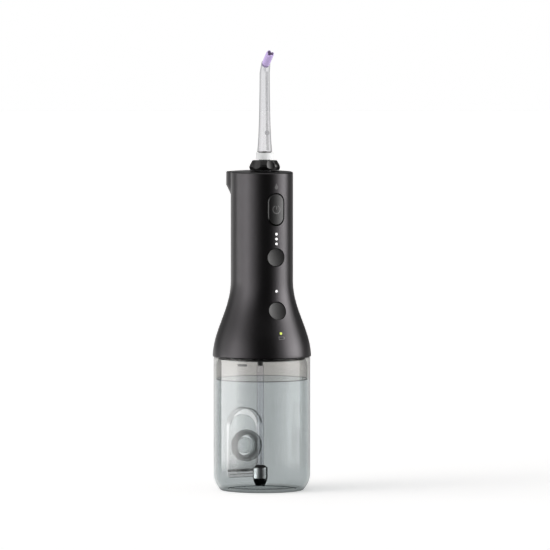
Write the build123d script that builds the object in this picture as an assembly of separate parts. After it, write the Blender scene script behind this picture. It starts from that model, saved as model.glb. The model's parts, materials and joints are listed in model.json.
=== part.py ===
from build123d import *
import math
import os

# Cordless water flosser, millimetres, +Z up.  The origin is the centre of the tank's
# bottom, on the surface it stands on.  The buttons face -Y, the filling door +Y.

# ---- driving dimensions -------------------------------------------------------------
TANK_R = 33.9            # outside of the clear tank
TANK_WALL = 2.0
TANK_FLOOR = 2.4         # inside floor height
FOOT_R = 29.0            # outer edge of the ring it stands on
FOOT_RECESS_R = 24.0
FOOT_RECESS = 0.6
CORNER_H = 13.0          # height where the rounded bottom corner ends
SHOULDER_Z = 93.1        # top of the visible tank wall
NECK_TOP = 98.6
NECK_R = 32.3
NECK_BORE_R = 30.6

SKIRT_Z = 93.4           # lower edge of the handle
SKIRT_R = 34.5
SKIRT_BORE_R = 32.8
SKIRT_EDGE = 1.0         # rounding of the lower edge
LEDGE_Z = 101.2          # the base plug's flange seats here
HANDLE_WALL = 2.2
HANDLE_TOP = 224.0       # crown of the slightly domed top
DOME_R, DOME_Y = 260.0, 5.0
CEILING_Z = 220.8        # underside of the top, inside
GRIP_A = 21.35           # grip half width, side to side
GRIP_B = 23.7            # grip half depth, front to back
FLARE_LOW, FLARE_HIGH = 93.0, 147.0
DEPTH_BLEND = 1.36       # keeps the flare round until it is nearly as slim as the grip
GRIP_START = 150.0
LIP_R = 18.9             # thumb lip at the back of the top
LIP_Y = 14.3
LIP_EDGE_Z = 213.4
LIP_FOOT_R, LIP_FOOT_Y, LIP_FOOT_Z = 17.2, 6.4, 200.0   # where its underside leaves the grip
LIP_CURVE = 1.5          # how sharply the underside turns outward
TOP_ROUND = 1.0

DOOR_W = 21.0            # arched filling pocket in the back of the tank
DOOR_LOW, DOOR_HIGH = 8.5, 53.8
DOOR_TOP_GAP = 3.3       # finger gap over the door
DOOR_CLEAR = 0.4
POCKET_Y = 27.5          # outer plane of the pocket's floor
FILL_Z = 29.0
FILL_BORE_R = 8.0
FILL_BOSS_R = 11.0
FILL_BOSS_Y = 23.0
PLUG_R = 7.35
PLUG_END_Y = 24.5
DOOR_INNER_Y = 31.0
HINGE_Y, HINGE_Z = 31.9, 11.0
HINGE_PIN_R = 0.8
KNUCKLE_R = 1.4

AXIS_Y = -4.6            # nozzle axis
CENTRE_Y = 11.2          # battery axis
RUN_FIT = 0.06           # radial clearance of running fits

POWER_Z, POWER_W, POWER_H = 197.3, 12.3, 22.2
ROUND_Z, MODE_Z = 163.9, 126.9
ROUND_A, ROUND_B = 6.3, 6.0   # half width and half height of the two small buttons
BUTTON_GAP = 0.45        # groove around every button
STEM_AROUND = 1.8        # radius of the button stems
DISH_R, DISH_DEPTH = 40.0, 1.4   # finger dish of the small buttons
BUTTON_PROUD = 0.25
BUTTON_TRAVEL = 0.8
LEVEL_LIGHTS_Z = (180.2, 176.8, 173.4)
MODE_LIGHT_Z = 140.4
BATTERY_LIGHT_Z = 111.3
LENS_R = 0.95

BOARD_Y = -17.0          # front face of the main board
BOARD_T = 1.6
BOARD_HALF_W = 11.0
BOARD_LOW, BOARD_HIGH = 134.0, 208.0

PLATE_LOW, PLATE_HIGH = 114.0, 116.5   # gearbox plate of the frame
PLATE_R = 26.0
RAIL_X = (12.0, 14.5)
FRAME_Y = (-1.5, 0.5)
FRAME_TOP, WEB_TOP = 212.0, 206.5

MODULE = 0.5
GEAR_TEETH, PINION_TEETH = 46, 10
GEAR_X, GEAR_Y = -10.0, -3.0
MESH_ANGLE = 40.0
GEAR_LOW, GEAR_HIGH = 109.5, 112.5
CRANK_R = 4.0
CRANK_PIN_R = 1.25
AXLE_R = 1.5
BACKLASH = 0.12

PUMP_Z = 104.5
PUMP_BORE_R = 4.0
PUMP_R = 5.5
PUMP_START_X, PUMP_HEAD_X, PUMP_END_X = 5.6, 19.5, 25.0
PORT_X = 22.0            # inlet port, in the side of the pump head
OUTLET_X = 21.7          # outlet port, in its top
VALVE_POCKET_R = 1.95

TUBE_R, TUBE_BORE_R = 2.25, 1.3
PLUG_FLOOR_LOW, PLUG_FLOOR_HIGH = 91.5, 94.0
PLUG_BODY_R, PLUG_CUP_R = 30.2, 27.6
SEAL_R = 30.5
LEG_R = 2.8
LEG_ANGLES = (90, 235, 305)
LEG_AT = 24.0

HOSE_Y = 2.75
HOSE_TOP, HOSE_END = 86.9, 17.0
COLLAR_END, WEIGHT_END, NOSE_END = 15.4, 7.5, 2.6
HOSE_R, HOSE_BORE_R = 2.4, 1.3

RING_LOW, RING_HIGH = HANDLE_TOP + 0.3, 231.1
SCALLOP_R, SCALLOP_OUT, SCALLOP_LEAN = 11.0, 21.0, 22.0   # finger scallops of the knob
SEAT_NECK_R, SEAT_TOP = 5.5, 228.2
SEAT_BORE_R = 4.1
STEM_R = 4.0
STEM_LOW = 212.5
BARREL_TOP_R, BARREL_TOP_Z = 3.45, 292.0
TIP_R = 2.75
TIP_BEND_Z = 298.2
TIP_AHEAD = 1.6          # how far the tip stands in front of the barrel's axis
TIP_TILT = 44.0
TIP_REACH = 11.2
TIP_CUP_R, TIP_CUP_DEPTH = 1.75, 3.5
TIP_BORE_R, TUBE_END_BORE_R = 1.0, 0.8

PORT_Z = 141.0           # charging inlet in the back
COVER_Y = 21.85          # inner face of its rubber cover
BEAD_R, BEAD_Y, BEAD_Z = 0.45, 23.9, 136.9


# ---- small helpers ------------------------------------------------------------------
def rod(radius, low, high, x=0.0, y=0.0):
    """Upright cylinder between two heights."""
    return Pos(x, y, low) * Cylinder(radius, high - low, align=(Align.CENTER, Align.CENTER, Align.MIN))


def ring(outer, inner, low, high, x=0.0, y=0.0):
    """Upright ring between two heights."""
    return rod(outer, low, high, x, y) - rod(inner, low - 1, high + 1, x, y)


def rod_y(radius, y_low, y_high, z, x=0.0):
    """Cylinder along Y."""
    body = Cylinder(radius, y_high - y_low, align=(Align.CENTER, Align.CENTER, Align.MIN))
    return Pos(x, y_low, z) * Rot(-90, 0, 0) * body


def rod_x(radius, x_low, x_high, y, z):
    """Cylinder along X."""
    body = Cylinder(radius, x_high - x_low, align=(Align.CENTER, Align.CENTER, Align.MIN))
    return Pos(x_low, y, z) * Rot(0, 90, 0) * body


def block(x, y, z):
    """Box from three (low, high) pairs."""
    size = [high - low for low, high in (x, y, z)]
    middle = [(high + low) / 2 for low, high in (x, y, z)]
    return Pos(*middle) * Box(*size)


def turned(*points):
    """Solid of revolution about Z from (radius, height) corners."""
    face = make_face(Plane.XZ * Polyline(*points, close=True))
    return revolve(face, Axis.Z)


def along_y(sketch, y_low, y_high):
    """Sketch drawn in X and Z, extruded from y_low to y_high."""
    plane = Plane((0, y_high, 0), x_dir=(1, 0, 0), z_dir=(0, -1, 0))
    return extrude(plane * sketch, amount=y_high - y_low)


def bent_tube(points, radii, outer, inner=0.0):
    """Tube of straight runs joined by tangent arcs."""
    path = FilletPolyline(*points, radius=radii)
    start = Plane(origin=path @ 0, z_dir=path % 0)
    section = Circle(outer) - Circle(inner) if inner else Circle(outer)
    return sweep(start * section, path=path)


def save(part, name):
    part.label = name
    export_step(part, "parts/" + name + ".step")


# ---- outer form of the handle ---------------------------------------------------------
def flare(z):
    """0 on the grip, 1 at the skirt."""
    turn = min(max((z - FLARE_LOW) / (FLARE_HIGH - FLARE_LOW), 0.0), 1.0)
    return (1 + math.cos(math.pi * turn)) / 2


def half_width(z):
    return GRIP_A + (SKIRT_R - GRIP_A) * flare(z)


def half_depth(z):
    return GRIP_B + (SKIRT_R - GRIP_B) * flare(z) ** DEPTH_BLEND


def handle_form(low, high, inset):
    """Flare and oval grip between two heights, smaller by inset."""
    steps = 10
    heights = [low + (GRIP_START - low) * i / steps for i in range(steps + 1)]
    sections = [
        Plane.XY.offset(z) * Ellipse(half_width(z) - inset, half_depth(z) - inset)
        for z in heights
    ]
    body = loft(sections)
    grip = Plane.XY.offset(GRIP_START) * Ellipse(GRIP_A - inset, GRIP_B - inset)
    return body + extrude(grip, amount=high - GRIP_START)


def lip(top):
    """Round lip whose underside curves out of the grip."""
    steps = 6
    sections = []
    for step in range(steps + 1):
        rise = step / steps
        out = rise ** LIP_CURVE
        z = LIP_FOOT_Z + (LIP_EDGE_Z - LIP_FOOT_Z) * rise
        y = LIP_FOOT_Y + (LIP_Y - LIP_FOOT_Y) * out
        radius = LIP_FOOT_R + (LIP_R - LIP_FOOT_R) * out
        sections.append(Plane.XY.offset(z) * Pos(0, y) * Circle(radius))
    return loft(sections) + rod(LIP_R, LIP_EDGE_Z, top, 0, LIP_Y)


def handle_outside():
    """Whole outer form: skirt, flare, grip and thumb lip, with rounded edges."""
    skirt = rod(SKIRT_R, SKIRT_Z, SKIRT_Z + 2)
    skirt = fillet(skirt.edges().group_by(Axis.Z)[0], SKIRT_EDGE)
    body = skirt + handle_form(SKIRT_Z + 1.6, HANDLE_TOP, 0)
    body += lip(HANDLE_TOP)
    body &= Pos(0, DOME_Y, HANDLE_TOP - DOME_R) * Rot(X=90) * Sphere(DOME_R)
    dome = body.faces().sort_by(Axis.Z)[-1]
    return fillet(dome.outer_wire().edges(), TOP_ROUND)


# ---- places worked out from the driving dimensions ------------------------------------
def front_y(z):
    return -half_depth(z)


MODE_TILT = math.degrees(math.atan((half_depth(MODE_Z - 1) - half_depth(MODE_Z + 1)) / 2))
MODE_PLANE = Plane(
    origin=(0, front_y(MODE_Z), MODE_Z),
    x_dir=(1, 0, 0),
    z_dir=(0, -math.cos(math.radians(MODE_TILT)), math.sin(math.radians(MODE_TILT))),
)
CENTRE_DISTANCE = MODULE * (GEAR_TEETH + PINION_TEETH) / 2
MOTOR_X = GEAR_X + CENTRE_DISTANCE * math.cos(math.radians(MESH_ANGLE))
MOTOR_Y = GEAR_Y + CENTRE_DISTANCE * math.sin(math.radians(MESH_ANGLE))
MOTOR_R = 10.5
SCREW_PLACES = [
    (LEG_AT * math.cos(math.radians(a)), LEG_AT * math.sin(math.radians(a))) for a in LEG_ANGLES
]


# ---- tank -------------------------------------------------------------------------------
def tank_outside():
    """Solid of the tank's outer form up to the shoulder."""
    corner = ThreePointArc((FOOT_R, 0), (FOOT_R + 3.1, 4.2), (TANK_R, CORNER_H))
    shoulder = SHOULDER_Z - 0.6
    rest = Polyline(
        (TANK_R, CORNER_H), (TANK_R, shoulder), (TANK_R - 0.6, SHOULDER_Z), (0, SHOULDER_Z), (0, 0),
        (FOOT_R, 0)
    )
    return revolve(make_face(Plane.XZ * (corner + rest)), Axis.Z)


def tank_inside():
    """Water space."""
    bore = TANK_R - TANK_WALL
    low = FOOT_R - 1.5
    corner = ThreePointArc((low, TANK_FLOOR), (low + 3.0, TANK_FLOOR + 3.6), (bore, CORNER_H))
    rest = Polyline(
        (bore, CORNER_H), (bore, SHOULDER_Z - 5), (NECK_BORE_R, SHOULDER_Z - 2),
        (NECK_BORE_R, NECK_TOP + 1), (0, NECK_TOP + 1), (0, TANK_FLOOR), (low, TANK_FLOOR)
    )
    return revolve(make_face(Plane.XZ * (corner + rest)), Axis.Z)


def arch(width, low, high):
    """Door outline: square foot, round head, drawn in X and Z."""
    head = width / 2
    middle = (low + high - head) / 2
    box = Pos(0, middle) * Rectangle(width, high - head - low)
    return box + Pos(0, high - head) * Circle(head)


def tank_shell():
    """Clear tank with a neck, a foot ring and the filling pocket in its back."""
    outside = tank_outside()
    body = outside + ring(NECK_R, NECK_BORE_R, SHOULDER_Z - 2, NECK_TOP) - tank_inside()
    surround = arch(DOOR_W + 2 * TANK_WALL, DOOR_LOW - TANK_WALL, DOOR_HIGH + TANK_WALL)
    body += along_y(surround, POCKET_Y - TANK_WALL, TANK_R + 5) & outside
    body += rod_y(FILL_BOSS_R, FILL_BOSS_Y, POCKET_Y, FILL_Z)
    body -= along_y(arch(DOOR_W, DOOR_LOW, DOOR_HIGH), POCKET_Y, TANK_R + 5)
    body -= rod_y(FILL_BORE_R, FILL_BOSS_Y - 1, POCKET_Y + 1, FILL_Z)
    body -= rod(FOOT_RECESS_R, -1, FOOT_RECESS)
    body -= rod_x(HINGE_PIN_R, -11.3, 11.3, HINGE_Y, HINGE_Z)
    key_slot = block((-2.9, 2.9), (NECK_BORE_R - 1.5, NECK_R + 1), (NECK_TOP - 3.1, NECK_TOP + 1))
    return body - key_slot


def flap_hinge_pin():
    return rod_x(HINGE_PIN_R, -11.3, 11.3, HINGE_Y, HINGE_Z)


# ---- filling door -----------------------------------------------------------------------
def fill_door():
    """Curved door, flush with the tank, with its plug and hinge knuckle."""
    width = DOOR_W - 2 * DOOR_CLEAR
    panel = arch(width, HINGE_Z + 1.0, DOOR_HIGH - DOOR_TOP_GAP)
    body = along_y(panel, DOOR_INNER_Y, TANK_R + 5) & tank_outside()
    body += rod_y(PLUG_R, PLUG_END_Y + 0.6, DOOR_INNER_Y + 0.1, FILL_Z)
    nose = Pos(0, PLUG_END_Y, FILL_Z) * Rot(-90, 0, 0) * Cone(
        PLUG_R - 0.6, PLUG_R, 0.6, align=(Align.CENTER, Align.CENTER, Align.MIN)
    )
    body += nose
    body -= rod_y(PLUG_R - 1.8, PLUG_END_Y + 1.6, DOOR_INNER_Y + 0.4, FILL_Z)
    body += rod_x(KNUCKLE_R, -5, 5, HINGE_Y, HINGE_Z)
    body += block((-5, 5), (HINGE_Y - 0.9, HINGE_Y + 0.9), (HINGE_Z, HINGE_Z + 2))
    return body - rod_x(HINGE_PIN_R + RUN_FIT, -6, 6, HINGE_Y, HINGE_Z)


def fill_seal():
    """Rubber washer that closes against the pocket floor."""
    outer = rod_y(9.8, POCKET_Y + 0.05, POCKET_Y + 1.7, FILL_Z)
    return outer - rod_y(PLUG_R, POCKET_Y - 1, POCKET_Y + 3, FILL_Z)


# ---- handle housing -----------------------------------------------------------------------
def power_outline(grow=0.0):
    return SlotOverall(POWER_H + 2 * grow, POWER_W + 2 * grow, rotation=90)


def front_window(sketch, z):
    """Cutter through the front wall at height z."""
    return along_y(Pos(0, z) * sketch, -40, -14)


def small_outline(grow=0.0):
    return Ellipse(ROUND_A + grow, ROUND_B + grow)


def mode_cutter(sketch, low, high):
    """Sketch carried along the mode button's axis, heights measured from the surface."""
    plane = MODE_PLANE.offset(low)
    return extrude(plane * sketch, amount=high - low)


def battery_light_path():
    start_y = front_y(BATTERY_LIGHT_Z) - 0.05
    return [(0, start_y, BATTERY_LIGHT_Z), (0, -26.0, BATTERY_LIGHT_Z), (0, -22.4, 118.4)]


def handle_housing(outside):
    """Sleeve-like casing with openings for the buttons, the lights and the inlet."""
    cavity = handle_form(LEDGE_Z, CEILING_Z, HANDLE_WALL)
    lip_room = rod(LIP_R - HANDLE_WALL, LIP_EDGE_Z + HANDLE_WALL, CEILING_Z, 0, LIP_Y)
    body = outside - cavity - lip_room - rod(SKIRT_BORE_R, SKIRT_Z - 1, LEDGE_Z)
    body -= rod(SEAT_NECK_R, HANDLE_TOP - 5, HANDLE_TOP + 1, 0, AXIS_Y)
    body -= front_window(power_outline(BUTTON_GAP), POWER_Z)
    body -= front_window(small_outline(BUTTON_GAP), ROUND_Z)
    body -= mode_cutter(small_outline(BUTTON_GAP), -6, 4)
    for z in (*LEVEL_LIGHTS_Z, MODE_LIGHT_Z, BATTERY_LIGHT_Z):
        body -= front_window(Circle(LENS_R), z)
    body -= along_y(Pos(0, PORT_Z) * RectangleRounded(13.0, 9.4, 3.0), COVER_Y - 0.05, 40)
    body -= along_y(Pos(0, PORT_Z) * RectangleRounded(9.0, 3.4, 1.6), 15, 40)
    return body


def base_plug():
    """Black plug closing the handle's foot: cup, flange, seal groove, key and pump saddle."""
    body = turned(
        (0, PLUG_FLOOR_LOW), (PLUG_BODY_R - 0.6, PLUG_FLOOR_LOW), (PLUG_BODY_R, PLUG_FLOOR_LOW + 0.6),
        (PLUG_BODY_R, NECK_TOP + 0.3), (SKIRT_BORE_R, NECK_TOP + 0.3), (SKIRT_BORE_R, LEDGE_Z),
        (PLUG_CUP_R, LEDGE_Z), (PLUG_CUP_R, PLUG_FLOOR_HIGH), (0, PLUG_FLOOR_HIGH)
    )
    body -= ring(PLUG_BODY_R + 1, PLUG_BODY_R - 1.5, 94.6, 96.4)
    body += block((-2.5, 2.5), (PLUG_BODY_R - 0.4, NECK_R - 0.1), (NECK_TOP - 2.0, NECK_TOP + 0.4))
    saddle = block((8, 18), (-6.5, 0.5), (PLUG_FLOOR_HIGH - 0.1, PUMP_Z - 2))
    body += saddle - rod_x(PUMP_R, 0, 30, GEAR_Y, PUMP_Z)
    body -= rod(1.9, 90, 95, 0, HOSE_Y)
    for x, y in SCREW_PLACES:
        body -= rod(2.3, 91, 93, x, y) + rod(1.0, 91, 95, x, y)
    return body


def base_o_ring():
    return ring(SEAL_R, PLUG_BODY_R - 1.5, 94.7, 96.3)


def base_screws():
    """Three screws through the plug into the frame's legs."""
    screws = []
    for x, y in SCREW_PLACES:
        cross = Box(0.6, 3.0, 1.2) + Box(3.0, 0.6, 1.2)
        head = rod(2.1, 91.7, 93, x, y) - Pos(x, y, 91.7) * cross
        screws.append(head + rod(1.0, 93, 100, x, y))
    return Compound(children=screws)


# ---- frame ------------------------------------------------------------------------------
def chassis_frame():
    """Gearbox plate on three legs, with side rails, a web and the button board's bracket."""
    body = rod(PLATE_R, PLATE_LOW, PLATE_HIGH)
    for x, y in SCREW_PLACES:
        body += rod(LEG_R, PLUG_FLOOR_HIGH, PLATE_LOW, x, y) - rod(1.0, 93, 100, x, y)
    for side in (-1, 1):
        low, high = sorted(side * x for x in RAIL_X)
        body += block((low, high), FRAME_Y, (PLATE_HIGH - 0.1, FRAME_TOP))
        for z in (158.0, 203.0):
            body += rod_y(2.0, BOARD_Y + BOARD_T, FRAME_Y[1], z, side * 8)
    body += block((-12.1, 12.1), FRAME_Y, (150.0, WEB_TOP))
    for z in (165.0, 196.0):
        body += block((-7, 7), (0, 8), (z, z + 2)) - rod(9.15, z - 1, z + 3, 0, CENTRE_Y)
    bracket = MODE_PLANE.offset(-9.9) * (Pos(0, -1.75, 0.8) * Box(14, 15.5, 1.6))
    body += bracket
    body -= rod(2.8, PLATE_LOW - 1, PLATE_HIGH + 1, OUTLET_X, GEAR_Y)
    body -= rod(2.2, PLATE_LOW - 1, PLATE_HIGH + 1, MOTOR_X, MOTOR_Y)
    body -= rod(AXLE_R, PLATE_LOW - 1, PLATE_HIGH + 1, GEAR_X, GEAR_Y)
    return body - block((-2.5, 2.5), (-27, -21.7), (PLATE_LOW - 1, 119))


# ---- electrics ----------------------------------------------------------------------------
def main_board():
    body = block((-BOARD_HALF_W, BOARD_HALF_W), (BOARD_Y, BOARD_Y + BOARD_T), (BOARD_LOW, BOARD_HIGH))
    return fillet(body.edges().filter_by(Axis.Y), 1.0)


def mode_board():
    plate = Pos(0, 0, 0.7) * Box(14, 12, 1.4)
    return MODE_PLANE.offset(-8.3) * plate


def tact_switch():
    """Small square switch standing on +Z, with its plunger."""
    body = Pos(0, 0, 0.7) * Box(6, 6, 1.4)
    return body + Pos(0, 0, 1.65) * Cylinder(1.5, 0.5)


def tact_switches():
    board_front = Plane(origin=(0, BOARD_Y, 0), x_dir=(1, 0, 0), z_dir=(0, -1, 0))
    switches = [board_front * Pos(0, z, 0) * tact_switch() for z in (POWER_Z, ROUND_Z)]
    switches.append(MODE_PLANE.offset(-6.9) * tact_switch())
    return Compound(children=switches)


def light_chips():
    """Light-emitting chips behind the lenses."""
    chips = [
        block((-0.8, 0.8), (BOARD_Y - 0.7, BOARD_Y), (z - 0.6, z + 0.6))
        for z in (*LEVEL_LIGHTS_Z, MODE_LIGHT_Z)
    ]
    chips.append(MODE_PLANE.offset(-6.9) * Pos(0, -5.1, 0.3) * Box(1.6, 1.2, 0.6))
    return Compound(children=chips)


def lens(z):
    return rod_y(LENS_R, front_y(z) - 0.05, BOARD_Y - 0.8, z)


def level_light_lenses():
    return Compound(children=[lens(z) for z in LEVEL_LIGHTS_Z])


def battery_light_pipe():
    return bent_tube(battery_light_path(), [3.0], LENS_R)


def battery_cell():
    body = rod(9.1, 150.3, 214.2, 0, CENTRE_Y)
    return fillet(body.edges(), 0.8) + rod(3.0, 214.1, 215.0, 0, CENTRE_Y)


def battery_tabs():
    """Welded nickel strips at both ends."""
    low = rod(5.0, 150.0, 150.3, 0, CENTRE_Y) + block((-9, 0), (8, 10), (150.0, 150.3))
    high = rod(3.0, 215.0, 215.3, 0, CENTRE_Y) + block((0, 9), (8, 10), (215.0, 215.3))
    return Compound(children=[low, high])


def leads(paths):
    return Compound(children=[bent_tube(path, [1.3] * (len(path) - 2), 0.6) for path in paths])


def battery_leads():
    front = BOARD_Y + BOARD_T
    high = [(8, 9, 215.3), (8, 9, 218.2), (8, -12, 218.2), (8, -12, 206.5), (8, front, 206.5)]
    low = [(-8, 9, 150.0), (-8, 9, 147.8), (-8, -12, 147.8), (-8, -12, 154.0), (-8, front, 154.0)]
    return leads([high, low])


def motor_leads():
    front = BOARD_Y + BOARD_T
    return leads([
        [(x, 1, 146.0), (x, 1, 147.8), (x, -12, 147.8), (x, -12, 154.0), (x, front, 154.0)]
        for x in (-4, 4)
    ])


# ---- drive --------------------------------------------------------------------------------
def motor_can():
    body = rod(MOTOR_R, PLATE_HIGH, 143.0, MOTOR_X, MOTOR_Y)
    body = fillet(body.edges().group_by(Axis.Z)[-1], 0.8)
    body += rod(2.2, PLATE_LOW, PLATE_HIGH, MOTOR_X, MOTOR_Y)
    return body - rod(1.0 + RUN_FIT, PLATE_LOW - 1, 142.0, MOTOR_X, MOTOR_Y)


def motor_end_cap():
    return rod(MOTOR_R - 1, 143.0, 146.0, MOTOR_X, MOTOR_Y)


def motor_shaft():
    return rod(1.0, 108.4, 141.5, MOTOR_X, MOTOR_Y)


def involute(radius, base):
    """Involute function at a radius of the given base circle."""
    angle = math.acos(min(base / radius, 1.0))
    return math.tan(angle) - angle


def spur(teeth, phase):
    """Outline of a spur gear with one tooth centred on the phase angle in degrees."""
    pitch = MODULE * teeth / 2
    base = pitch * math.cos(math.radians(20))
    root, tip = pitch - 1.2 * MODULE, pitch + 0.9 * MODULE
    half_pitch = (math.pi * MODULE / 2 - BACKLASH) / (2 * pitch)
    points = []
    for tooth in range(teeth):
        middle = math.radians(phase) + 2 * math.pi * tooth / teeth
        flank = []
        for radius in (root, max(root, base), pitch, tip):
            half = half_pitch + involute(pitch, base) - involute(max(radius, base), base)
            flank.append((radius, half))
        for radius, half in flank:
            points.append((radius * math.cos(middle - half), radius * math.sin(middle - half)))
        for radius, half in reversed(flank):
            points.append((radius * math.cos(middle + half), radius * math.sin(middle + half)))
    unique = [p for i, p in enumerate(points) if math.dist(p, points[i - 1]) > 1e-4]
    return make_face(Polyline(*unique, close=True))


def motor_pinion():
    outline = spur(PINION_TEETH, MESH_ANGLE + 180 + 180 / PINION_TEETH)
    extra = 0.3
    body = extrude(outline, amount=GEAR_HIGH - GEAR_LOW + 2 * extra)
    body = Pos(MOTOR_X, MOTOR_Y, GEAR_LOW - extra) * body
    return body - rod(1.0, 105, 115, MOTOR_X, MOTOR_Y)


def crank_gear():
    wheel = extrude(spur(GEAR_TEETH, MESH_ANGLE), amount=GEAR_HIGH - GEAR_LOW)
    body = Pos(GEAR_X, GEAR_Y, GEAR_LOW) * wheel
    body += rod(3.5, GEAR_HIGH - 0.1, PLATE_LOW - 0.3, GEAR_X, GEAR_Y)
    body -= rod(AXLE_R + RUN_FIT, 105, 115, GEAR_X, GEAR_Y)
    return body - rod(CRANK_PIN_R, GEAR_LOW - 1, 111.5, GEAR_X, GEAR_Y - CRANK_R)


def crank_pin():
    return rod(CRANK_PIN_R, 103.0, 111.5, GEAR_X, GEAR_Y - CRANK_R)


def gear_axle():
    return rod(AXLE_R, 108.4, PLATE_HIGH + 0.4, GEAR_X, GEAR_Y)


def axle_clip():
    return ring(2.4, AXLE_R, 108.6, 109.2, GEAR_X, GEAR_Y)


# ---- pump ---------------------------------------------------------------------------------
def piston_yoke():
    """Slotted plate around the crank pin, with the piston rod and the piston."""
    wide, deep = 11.0, 7.2
    body = block((GEAR_X - wide, GEAR_X + wide), (GEAR_Y - deep, GEAR_Y + deep), (102.6, 106.4))
    body = fillet(body.edges().filter_by(Axis.Z), 2.0)
    window_x, window_y = 2 * CRANK_R + CRANK_PIN_R + 0.4, CRANK_R + CRANK_PIN_R + 0.4
    window = RectangleRounded(2 * window_x, 2 * window_y, 1.2)
    body -= Pos(GEAR_X, GEAR_Y, 100) * extrude(window, amount=10)
    body += rod_x(1.5, GEAR_X + wide - 0.2, 11, GEAR_Y, PUMP_Z)
    body += rod_x(PUMP_BORE_R - 0.3, 10.1, 15.1, GEAR_Y, PUMP_Z)
    return body - (rod_x(5, 12.0, 13.4, GEAR_Y, PUMP_Z) - rod_x(3.0, 11, 14, GEAR_Y, PUMP_Z))


def piston_seal():
    outer = rod_x(PUMP_BORE_R - 0.05, 12.1, 13.3, GEAR_Y, PUMP_Z)
    return outer - rod_x(3.0, 11, 14, GEAR_Y, PUMP_Z)


def pump_cylinder():
    outer = rod_x(PUMP_R, PUMP_START_X, PUMP_HEAD_X, GEAR_Y, PUMP_Z)
    return outer - rod_x(PUMP_BORE_R, PUMP_START_X - 1, PUMP_HEAD_X + 1, GEAR_Y, PUMP_Z)


def pump_head():
    """Block with the inlet port on +Y, the outlet port on top and two valve pockets."""
    across = (GEAR_Y - PUMP_R, GEAR_Y + PUMP_R)
    body = block((PUMP_HEAD_X, PUMP_END_X), across, (PUMP_Z - PUMP_R, PUMP_Z + PUMP_R))
    body = fillet(body.edges().filter_by(Axis.X), 1.5)
    body -= rod_x(1.2, PUMP_HEAD_X - 1, PORT_X, GEAR_Y, PUMP_Z)
    body -= rod_y(VALVE_POCKET_R, GEAR_Y + 2.4, GEAR_Y + 4.4, PUMP_Z, PORT_X)
    body -= rod_y(TUBE_BORE_R, GEAR_Y, GEAR_Y + PUMP_R + 1, PUMP_Z, PORT_X)
    body -= rod(VALVE_POCKET_R, PUMP_Z + 2.4, PUMP_Z + 4.4, OUTLET_X, GEAR_Y)
    return body - rod(TUBE_BORE_R, PUMP_Z, PUMP_Z + PUMP_R + 1, OUTLET_X, GEAR_Y)


def inlet_valve():
    disc = rod_y(VALVE_POCKET_R - 0.05, GEAR_Y + 2.5, GEAR_Y + 3.1, PUMP_Z, PORT_X)
    return disc + rod_y(0.8, GEAR_Y + 1.6, GEAR_Y + 2.6, PUMP_Z, PORT_X)


def outlet_valve():
    disc = rod(VALVE_POCKET_R - 0.05, PUMP_Z + 2.5, PUMP_Z + 3.1, OUTLET_X, GEAR_Y)
    return disc + rod(0.8, PUMP_Z + 3.0, PUMP_Z + 4.2, OUTLET_X, GEAR_Y)


def inlet_tube():
    """From the hose spigot to the side of the pump head."""
    turn_y, low = 10.5, 99.3
    points = [
        (0, HOSE_Y, 96.0), (0, HOSE_Y, low), (0, turn_y, low), (PORT_X, turn_y, low),
        (PORT_X, turn_y, PUMP_Z), (PORT_X, GEAR_Y + PUMP_R, PUMP_Z)
    ]
    return bent_tube(points, [2.9, 3.4, 2.5, 2.5], TUBE_R, TUBE_BORE_R)


def outlet_tube():
    """From the top of the pump head, up beside the board, to the nozzle seat."""
    points = [
        (OUTLET_X, GEAR_Y, PUMP_Z + PUMP_R), (OUTLET_X, GEAR_Y, 120.0),
        (13.6, -7.2, 146.0), (13.6, -7.2, 190.0),
        (0, AXIS_Y, 201.0), (0, AXIS_Y, 208.0)
    ]
    return bent_tube(points, [12.0, 12.0, 6.0, 5.0], TUBE_R, TUBE_BORE_R)


def hose_spigot():
    """Black barb through the plug that carries the suction hose."""
    body = rod(1.9, HOSE_TOP, 96.0, 0, HOSE_Y) + rod(3.2, 90.7, PLUG_FLOOR_LOW, 0, HOSE_Y)
    return body - rod(1.1, HOSE_TOP - 1, 97, 0, HOSE_Y)


def suction_hose():
    """Straight, pulled down by its weight."""
    return ring(HOSE_R, HOSE_BORE_R, HOSE_END, HOSE_TOP, 0, HOSE_Y)


def weight_collar():
    low, high = COLLAR_END, HOSE_END
    body = turned((1.2, high), (2.9, high), (3.6, high - 0.6), (4.6, low), (1.2, low))
    return Pos(0, HOSE_Y, 0) * body


def hose_weight():
    body = ring(5.25, 1.2, WEIGHT_END, COLLAR_END)
    rims = body.edges().filter_by(GeomType.CIRCLE).group_by(SortBy.LENGTH)[-1]
    return Pos(0, HOSE_Y, 0) * fillet(rims, 0.4)


def intake_nose():
    """Tapered plastic intake under the weight, with cross slots for the water."""
    high, low = WEIGHT_END, NOSE_END
    body = turned((1.2, high), (5.1, high), (5.1, high - 0.6), (3.3, low), (1.2, low))
    body -= Pos(0, 0, low) * (Box(12, 1.2, 1.6) + Box(1.2, 12, 1.6))
    return Pos(0, HOSE_Y, 0) * body


# ---- buttons --------------------------------------------------------------------------------
def button_skin():
    """Handle form that stands slightly proud, so that caps follow its curve."""
    return handle_form(SKIRT_Z + 1.6, HANDLE_TOP, -BUTTON_PROUD)


def button_stem(z):
    return rod_y(STEM_AROUND, -20.5, BOARD_Y - 1.9 - BUTTON_TRAVEL - 0.1, z)


def power_button(skin):
    """Long cap with a bevelled edge."""
    cap = along_y(Pos(0, POWER_Z) * power_outline(), -30, -20.4) & skin
    rim = cap.edges().filter_by(lambda e: e.center().Y < -22.3 and e.length > 1)
    cap = chamfer(rim, 0.7) if rim else cap
    return cap + button_stem(POWER_Z)


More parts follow.
